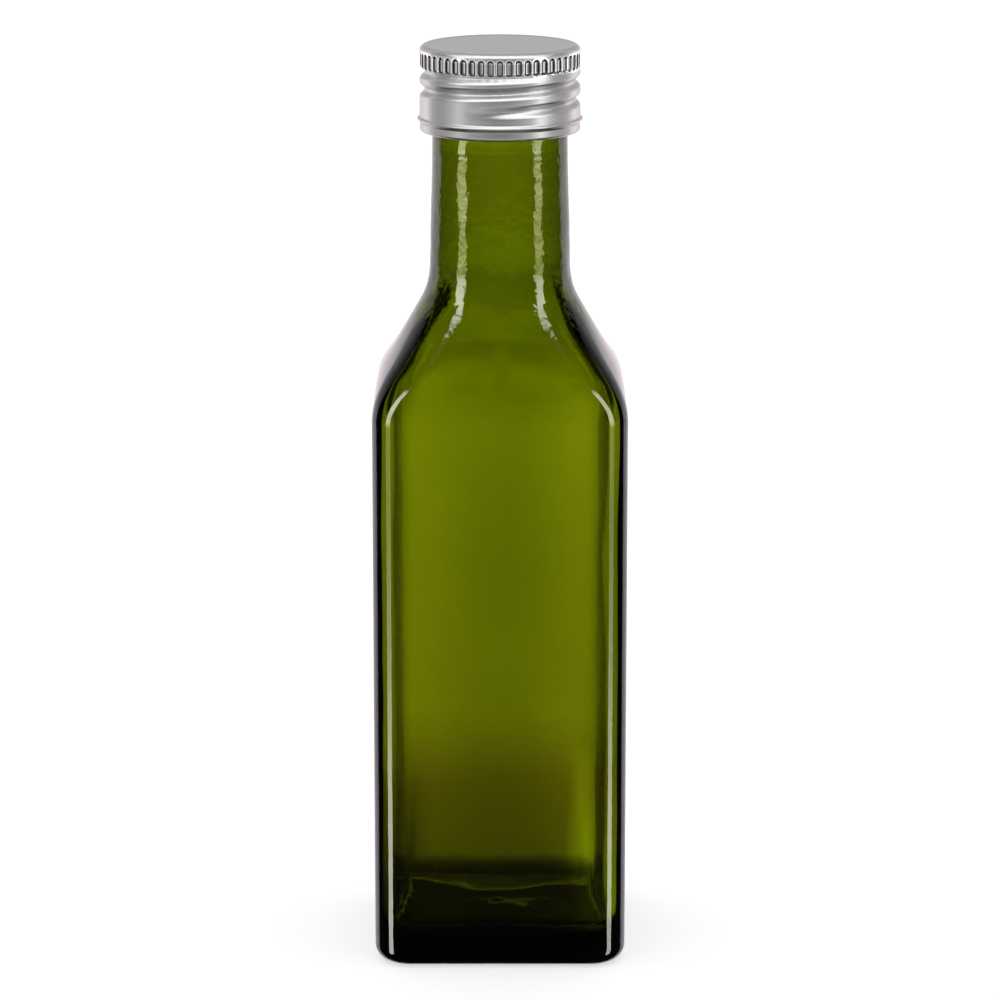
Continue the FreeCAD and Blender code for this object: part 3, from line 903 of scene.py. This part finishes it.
def make_world():
    """White to the camera, lit from behind for mirrored and passed rays, soft for the rest."""
    world = bpy.data.worlds.new("studio")
    world.use_nodes = True
    tree = world.node_tree
    tree.nodes.clear()
    out = tree.nodes.new("ShaderNodeOutputWorld")
    path, seen = seen_directly(tree)
    axes = split_axes(tree, node(tree, "ShaderNodeTexCoord").outputs["Generated"])

    mirrored = remap(tree, axes["Y"], *MIRRORED_BEHIND)
    for dimming in (MIRRORED_RISING, MIRRORED_HIGH):
        mirrored = calculate(tree, "MULTIPLY", mirrored, remap(tree, axes["Z"], *dimming))
    behind = remap(tree, axes["Y"], *PASSED_BEHIND)
    passed = calculate(tree, "MULTIPLY", behind, remap(tree, axes["Z"], *PASSED_RISING))
    straight = calculate(tree, "MAXIMUM", path["Is Camera Ray"], passed)

    # A ray that the glass passes on counts as glossy too, so it is taken off again.
    reflected = calculate(tree, "SUBTRACT", path["Is Glossy Ray"], path["Is Transmission Ray"])
    reflected.node.use_clamp = True
    shown = mix_values(tree, reflected, straight, mirrored)
    low = remap(tree, axes["Z"], *LILAC_RISING)
    lilac = calculate(tree, "MULTIPLY", reflected, low)

    sky = node(tree, "ShaderNodeBackground")
    link(tree, mix_colours(tree, lilac, WHITE, LILAC), sky.inputs["Color"])
    link(tree, mix_values(tree, seen, SOFT_LEVEL, shown), sky.inputs["Strength"])
    link(tree, sky.outputs[0], out.inputs["Surface"])
    bpy.context.scene.world = world


# ------------------------------------------------------------------ lamps and camera

STRIP_LOW = -0.4
STRIP_HIGH = 1.3
STRIP_WIDTH = 0.165
STRIP_AWAY = 0.6
STRIP_TURN = 66.0
STRIP_RADIANCE = 9.0
STRIPS = (("strip_left", -1, 1.0), ("strip_right", 1, 0.85))

# Height, level and share of blue on the way up a strip lamp.
STRIP_LEVELS = (
    (STRIP_LOW, 1.0, 1.0),
    (-0.16, 0.9, 0.88),
    (-0.11, 0.42, 0.8),
    (-0.07, 0.24, 0.6),
    (-0.01, 0.26, 0.3),
    (0.04, 0.6, 0.45),
    (0.12, 1.0, 0.8),
    (0.50, 1.2, 0.8),
    (0.84, 0.9, 0.9),
    (0.97, 0.02, 0.9),
    (STRIP_HIGH, 0.0, 1.0),
)

# A tent of panels round the cap: degrees from the front, and radiance.
TENT = (
    (-120.0, 0.45),
    (-80.0, 0.42),
    (-40.0, 0.35),
    (0.0, 0.22),
    (40.0, 0.35),
    (80.0, 0.45),
    (120.0, 0.5),
)
TENT_AWAY = 0.8
TENT_HEIGHT = 0.08
TENT_SIZE = (0.58, 0.8)

# The other lamps of the cap: name, place, target, width, height and radiance.
CAP_AIM = (0, 0, 0.13)
SOFTBOXES = (
    ("side_left", (-0.52, -0.3, 0.13), CAP_AIM, 0.10, 0.6, 0.8),
    ("side_right", (0.52, -0.3, 0.13), CAP_AIM, 0.12, 0.6, 1.8),
    ("overhead", (0, -0.25, 0.55), CAP_AIM, 1.6, 0.55, 1.9),
    ("zenith", (0, 0.30, 0.60), CAP_AIM, 1.6, 0.60, 0.45),
    ("bounce", (0, -0.35, 0.004), (0, -0.35, 0.2), 1.6, 0.6, 0.38),
)

CAMERA_PITCH = math.radians(13.5)
CAMERA_DISTANCE = 0.6864
CAMERA_AIM = 0.07024
CAMERA_LENS = 158.4
CAMERA_SENSOR = 36.0
CAMERA_CLIP = (0.01, 50.0)


def make_softbox(name, place, target, width, height, radiance, piece):
    """A rectangular lamp of a given radiance, turned to its target, that lights one piece."""
    lamp = bpy.data.lights.new(name, "AREA")
    lamp.shape = "RECTANGLE"
    lamp.size = width
    lamp.size_y = height
    lamp.energy = radiance * math.pi * width * height
    holder = bpy.data.objects.new(name, lamp)
    holder.location = place
    aim = Vector(target) - Vector(place)
    holder.rotation_mode = "QUATERNION"
    holder.rotation_quaternion = aim.to_track_quat("-Z", "Y")
    bpy.context.scene.collection.objects.link(holder)
    holder.visible_camera = False
    holder.visible_transmission = False
    group = bpy.data.collections.new(name + "_lights")
    group.objects.link(piece)
    holder.light_linking.receiver_collection = group
    return lamp


def shade_strip(lamp, share):
    """Shades a strip lamp by height: bright at its foot, dim and yellow, bright again, then out."""
    lamp.use_nodes = True
    tree = lamp.node_tree
    glow = [n for n in tree.nodes if n.type == "EMISSION"][0]
    place = node(tree, "ShaderNodeNewGeometry").outputs["Position"]
    height = remap(tree, split_axes(tree, place)["Z"], STRIP_LOW, STRIP_HIGH)
    stops = []
    for z, level, blue in STRIP_LEVELS:
        spot = (z - STRIP_LOW) / (STRIP_HIGH - STRIP_LOW)
        stops.append((spot, (level, level, level * blue)))
    link(tree, colour_ramp(tree, height, stops), glow.inputs["Color"])
    glow.inputs["Strength"].default_value = share


def around(degrees, away, height):
    """The place at an angle from the front, a distance away and a height."""
    turn = math.radians(degrees)
    return (away * math.sin(turn), -away * math.cos(turn), height)


def make_lights(glass, cap):
    """Two upright strips beside the camera for the glass, and soft lamps for the metal."""
    middle = (STRIP_LOW + STRIP_HIGH) / 2
    length = STRIP_HIGH - STRIP_LOW
    for name, side, share in STRIPS:
        place = around(side * STRIP_TURN, STRIP_AWAY, middle)
        aim = (0, 0, middle)
        lamp = make_softbox(name, place, aim, STRIP_WIDTH, length, STRIP_RADIANCE, glass)
        shade_strip(lamp, share)
    for degrees, radiance in TENT:
        place = around(degrees, TENT_AWAY, TENT_HEIGHT)
        make_softbox("tent", place, CAP_AIM, *TENT_SIZE, radiance, cap)
    for softbox in SOFTBOXES:
        make_softbox(*softbox, cap)


def make_camera():
    """The photograph's camera: a long lens looking down at the middle of the bottle."""
    lens = bpy.data.cameras.new("camera")
    lens.sensor_width = CAMERA_SENSOR
    lens.lens = CAMERA_LENS
    lens.clip_start, lens.clip_end = CAMERA_CLIP
    camera = bpy.data.objects.new("camera", lens)
    back = CAMERA_DISTANCE * math.cos(CAMERA_PITCH)
    up = CAMERA_DISTANCE * math.sin(CAMERA_PITCH)
    camera.location = (0, -back, CAMERA_AIM + up)
    camera.rotation_euler = (math.pi / 2 - CAMERA_PITCH, 0, 0)
    bpy.context.scene.collection.objects.link(camera)
    bpy.context.scene.camera = camera


glass_piece = make_bottle()
cap_piece = make_cap()
make_floor()
make_world()
make_lights(glass_piece, cap_piece)
make_camera()
bpy.context.scene.view_settings.view_transform = "Standard"
